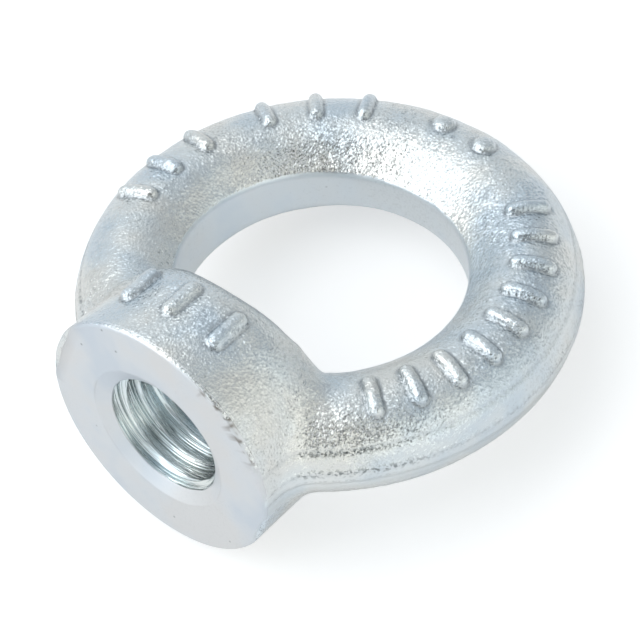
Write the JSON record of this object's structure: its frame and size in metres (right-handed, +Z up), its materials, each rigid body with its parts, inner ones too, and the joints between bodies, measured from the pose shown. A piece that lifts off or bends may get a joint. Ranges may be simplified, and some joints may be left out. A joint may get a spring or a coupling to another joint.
{
  "type": "lifting eye nut",
  "caption": "Forged and zinc plated lifting eye nut: a round boss with a through thread carries a ring for a hook or shackle.",
  "frame": {"origin": "on the ground, under the middle of the part's box, with the nut lying on its boss and ring", "axes": "+Y from the bearing face towards the far end of the ring, +X across the ring, +Z up"},
  "size_m": [0.0632, 0.0656, 0.0346],
  "materials": {
    "zinc_plated_steel": "bright zinc plate over a blasted forging, smooth where it is trimmed and machined"
  },
  "bodies": {
    "root": {"eye_nut": "zinc_plated_steel"}
  },
  "joints": []
}
